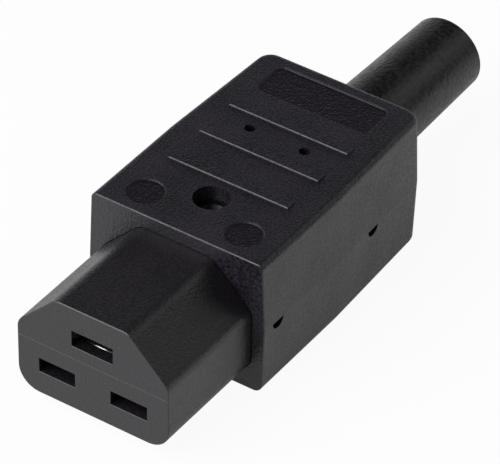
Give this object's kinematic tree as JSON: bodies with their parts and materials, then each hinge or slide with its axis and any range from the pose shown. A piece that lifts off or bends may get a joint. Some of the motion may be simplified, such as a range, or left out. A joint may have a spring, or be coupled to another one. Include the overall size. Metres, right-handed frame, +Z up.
{
  "type": "rewireable appliance power connector",
  "caption": "Black rewireable mains connector: box grip housing with ribs, bevelled nose with horizontal contact slots, and a rubber bend relief at the cord end.",
  "frame": {"origin": "below the middle of the whole part, on the plane of the housing's flat underside", "axes": "+Z up from the underside; +Y from the mating face towards the cord end; +X to the right of someone who looks at the mating face"},
  "size_m": [0.032, 0.0966, 0.0247],
  "materials": {
    "housing_plastic": "black, fine moulded grain, satin",
    "insert_plastic": "black, smooth moulded, satin",
    "relief_rubber": "black, matt, slightly mottled",
    "contact_metal": "tin-plated brass strip",
    "clamp_brass": "plain drawn brass",
    "screw_steel": "zinc-plated steel",
    "screw_black": "blackened steel"
  },
  "bodies": {
    "root": {"housing": "housing_plastic", "insert_lower": "insert_plastic", "insert_upper": "insert_plastic", "bend_relief": "relief_rubber", "cord_grip": "insert_plastic", "housing_nut": "screw_steel", "housing_screw": "screw_black", "contact_left": "contact_metal", "contact_right": "contact_metal", "contact_earth": "contact_metal", "terminal_clamp_left": "clamp_brass", "terminal_clamp_right": "clamp_brass", "terminal_clamp_earth": "clamp_brass", "terminal_screw_left": "screw_steel", "terminal_screw_right": "screw_steel", "terminal_screw_earth": "screw_steel", "insert_screw_left": "screw_steel", "insert_screw_right": "screw_steel", "grip_screw_left": "screw_steel", "grip_screw_right": "screw_steel"}
  },
  "joints": []
}
